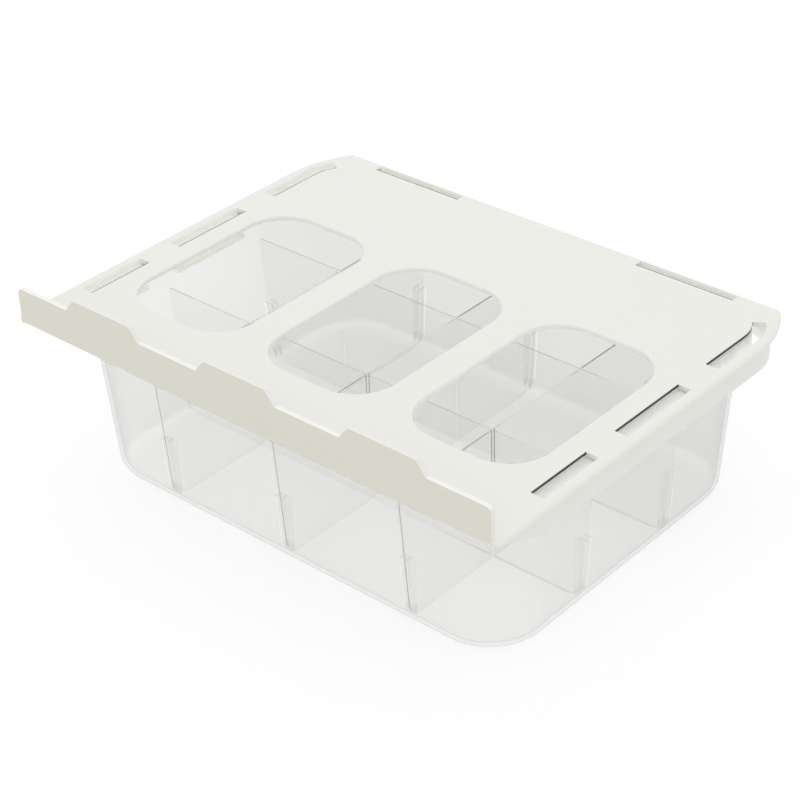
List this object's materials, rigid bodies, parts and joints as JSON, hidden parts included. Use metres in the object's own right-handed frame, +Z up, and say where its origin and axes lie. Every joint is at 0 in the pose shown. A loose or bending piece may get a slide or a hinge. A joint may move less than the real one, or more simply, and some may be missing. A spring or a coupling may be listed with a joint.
{
  "type": "fridge drawer organizer",
  "caption": "Under-shelf fridge drawer: a clear tapered bin with a lift-out divider grid slides forward in the rails of a white carrier plate with look-in windows and shelf clips.",
  "frame": {"origin": "middle of the flat underside of the bin, with the drawer closed", "axes": "+X to the right along the front, -Y out of the front in the direction that the drawer pulls, +Z up through the carrier plate"},
  "size_m": [0.293, 0.2256, 0.113],
  "materials": {
    "carrier": "satin warm-white moulded plastic",
    "clear_bin": "clear polished plastic",
    "clear_divider": "clear polished plastic"
  },
  "bodies": {
    "carrier": {"carrier_plate": "carrier"},
    "drawer": {"bin": "clear_bin", "divider_cross_left": "clear_divider", "divider_cross_middle": "clear_divider", "divider_cross_right": "clear_divider", "divider_long_front": "clear_divider", "divider_long_rear": "clear_divider"}
  },
  "joints": [
    {"name": "drawer_slide", "type": "slide", "parent": "carrier", "child": "drawer", "axis": [0, -1, 0], "range_m": [0, 0.14]}
  ]
}
